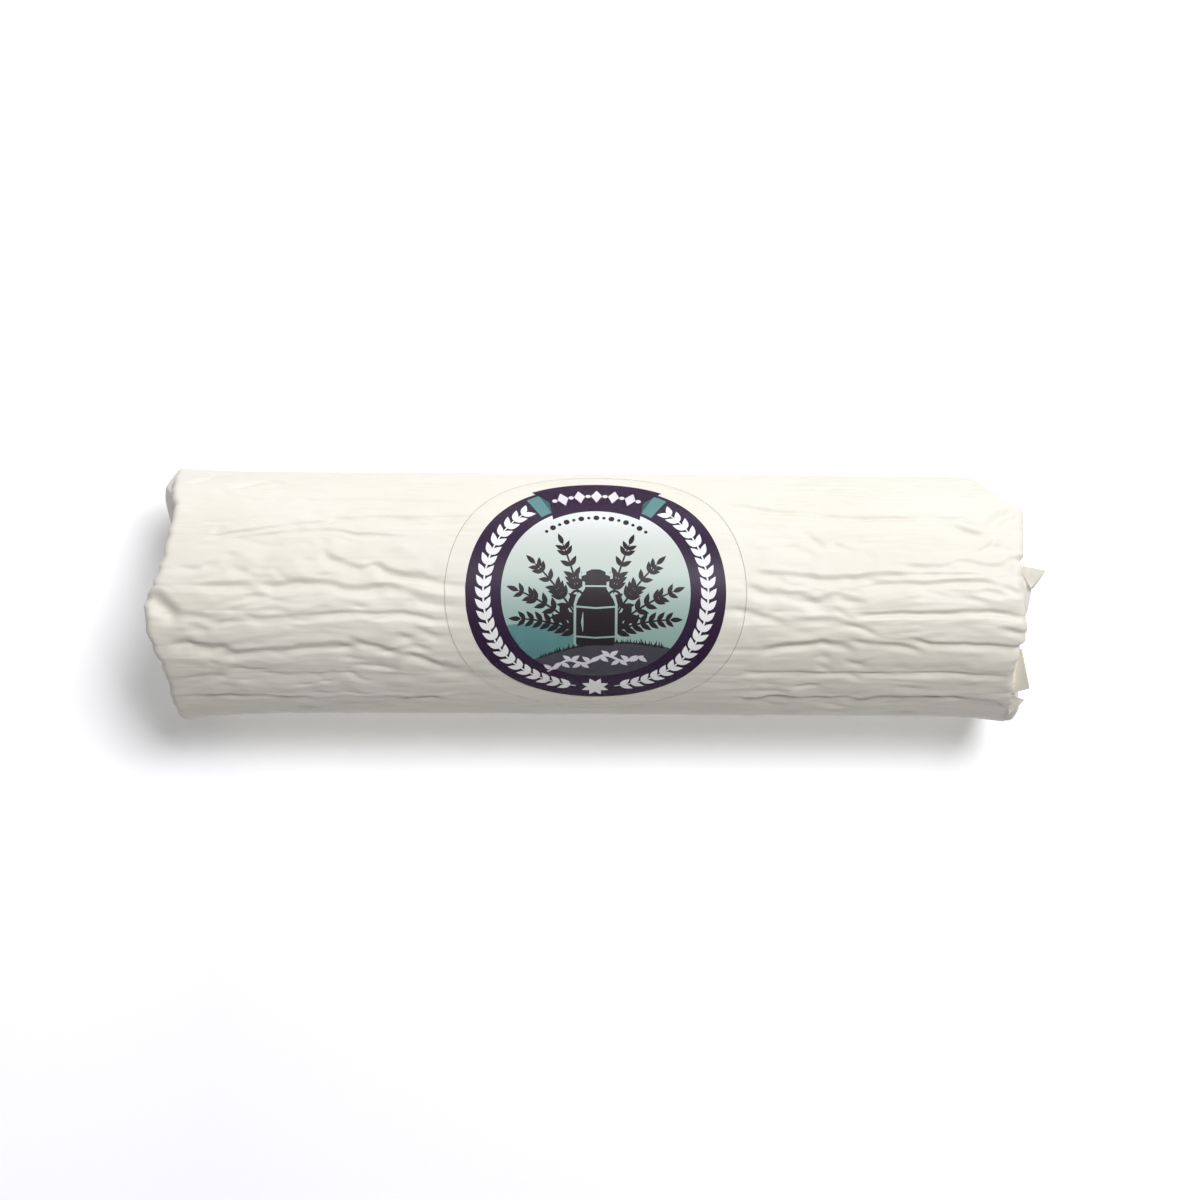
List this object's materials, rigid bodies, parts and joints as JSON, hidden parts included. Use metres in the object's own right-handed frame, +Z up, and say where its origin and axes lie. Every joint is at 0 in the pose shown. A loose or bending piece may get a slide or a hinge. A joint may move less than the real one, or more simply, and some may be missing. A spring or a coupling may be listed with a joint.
{
  "type": "goat cheese log",
  "caption": "Soft goat cheese log rolled in creased white paper, its ends folded in a fan, with a round clear label on top, printed in purple and grey-green.",
  "frame": {"origin": "on the surface that the log rests on, below the middle of its bounding box", "axes": "+X along the log, towards the end with the squashed corner; +Z up, through the label"},
  "size_m": [0.2519, 0.0729, 0.0699],
  "materials": {
    "paper": "satin coated wrapping paper, creased",
    "label_print": "gloss ink on film: purple, grey-green and off-white fields",
    "label_film": "clear gloss film"
  },
  "bodies": {
    "root": {"wrapped_log": "paper", "round_label": "label_print"}
  },
  "joints": []
}
